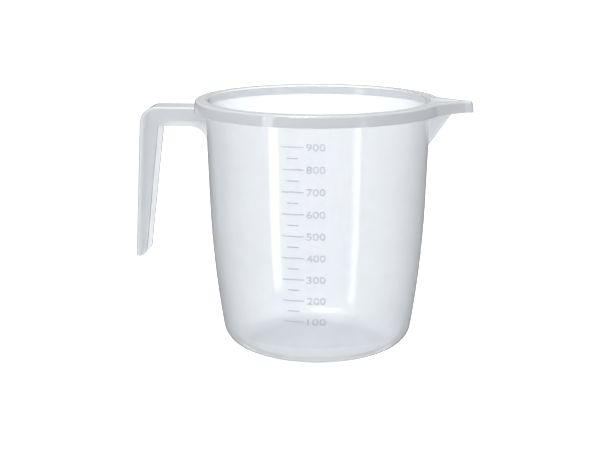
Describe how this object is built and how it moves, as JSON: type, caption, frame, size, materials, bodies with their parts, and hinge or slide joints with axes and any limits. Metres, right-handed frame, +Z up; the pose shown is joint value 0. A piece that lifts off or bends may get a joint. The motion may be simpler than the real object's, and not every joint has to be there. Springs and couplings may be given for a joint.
{
  "type": "measuring jug",
  "caption": "Translucent moulded plastic measuring jug with a rolled collar, a pointed pouring spout and an open-ended channel handle.",
  "frame": {"origin": "centre of the bounding box, on the surface that the jug stands on; the bowl's own axis is 8 mm further towards the spout", "axes": "+Z up along the bowl, +X from the handle to the spout"},
  "size_m": [0.1748, 0.127, 0.13],
  "materials": {
    "natural_polypropylene": "translucent natural polypropylene, satin moulded surface"
  },
  "bodies": {
    "root": {"jug": "natural_polypropylene"}
  },
  "joints": []
}
